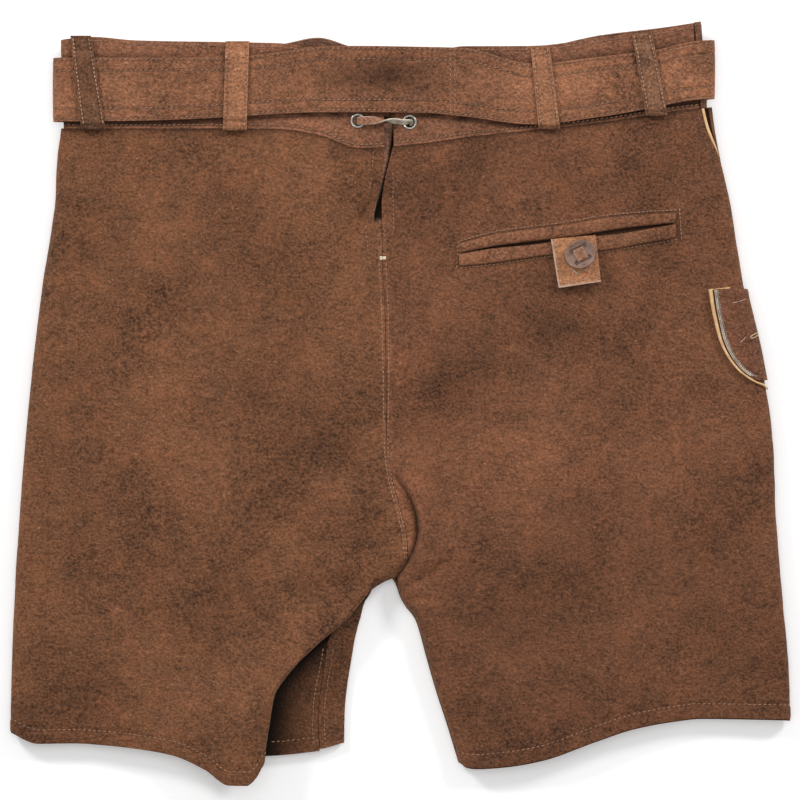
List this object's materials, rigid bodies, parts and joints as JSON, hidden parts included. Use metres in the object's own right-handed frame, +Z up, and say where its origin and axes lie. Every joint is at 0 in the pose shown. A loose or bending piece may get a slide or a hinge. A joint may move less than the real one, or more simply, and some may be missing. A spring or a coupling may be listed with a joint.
{
  "type": "lederhosen",
  "caption": "Short brown suede lederhosen laid flat with the back up: split laced waistband, threaded belt, buttoned welt pocket and knife pocket.",
  "frame": {"origin": "centre of the garment's outline, on the surface that it lies on", "axes": "+Z up from the surface, out of the garment's back; +Y towards the waist; +X towards the wearer's right side"},
  "size_m": [0.5074, 0.4959, 0.0267],
  "materials": {
    "back_left": "brown suede, napped",
    "back_right": "brown suede, napped",
    "front_left": "brown suede, napped",
    "front_right": "brown suede, napped",
    "gusset": "brown suede, napped",
    "waistband_back_left": "brown suede, napped",
    "waistband_back_right": "brown suede, napped",
    "waistband_front_left": "brown suede, napped",
    "waistband_front_right": "brown suede, napped",
    "welt_upper": "brown suede, napped",
    "welt_lower": "brown suede, napped",
    "knife_pocket": "brown suede, napped",
    "loop_back_1": "tan suede",
    "loop_back_2": "tan suede",
    "loop_back_3": "tan suede",
    "loop_back_4": "tan suede",
    "loop_front_1": "tan suede",
    "loop_front_2": "tan suede",
    "pocket_tab": "tan suede",
    "lace": "tan suede",
    "belt": "warm brown suede with two stitch rows at each edge",
    "button_thong": "pale raw leather",
    "side_piping": "gold tan, smooth",
    "knife_piping": "gold tan, smooth",
    "button": "horn or wood, satin",
    "eyelet_left": "nickel, lightly worn",
    "eyelet_right": "nickel, lightly worn",
    "belt_buckle": "nickel, lightly worn"
  },
  "bodies": {
    "root": {"back_left": "back_left", "back_right": "back_right", "front_left": "front_left", "front_right": "front_right", "gusset": "gusset", "waistband_back_left": "waistband_back_left", "waistband_back_right": "waistband_back_right", "waistband_front_left": "waistband_front_left", "waistband_front_right": "waistband_front_right", "welt_upper": "welt_upper", "welt_lower": "welt_lower", "knife_pocket": "knife_pocket", "loop_back_1": "loop_back_1", "loop_back_2": "loop_back_2", "loop_back_3": "loop_back_3", "loop_back_4": "loop_back_4", "loop_front_1": "loop_front_1", "loop_front_2": "loop_front_2", "pocket_tab": "pocket_tab", "lace": "lace", "belt": "belt", "button_thong": "button_thong", "side_piping": "side_piping", "knife_piping": "knife_piping", "button": "button", "eyelet_left": "eyelet_left", "eyelet_right": "eyelet_right", "belt_buckle": "belt_buckle"}
  },
  "joints": []
}
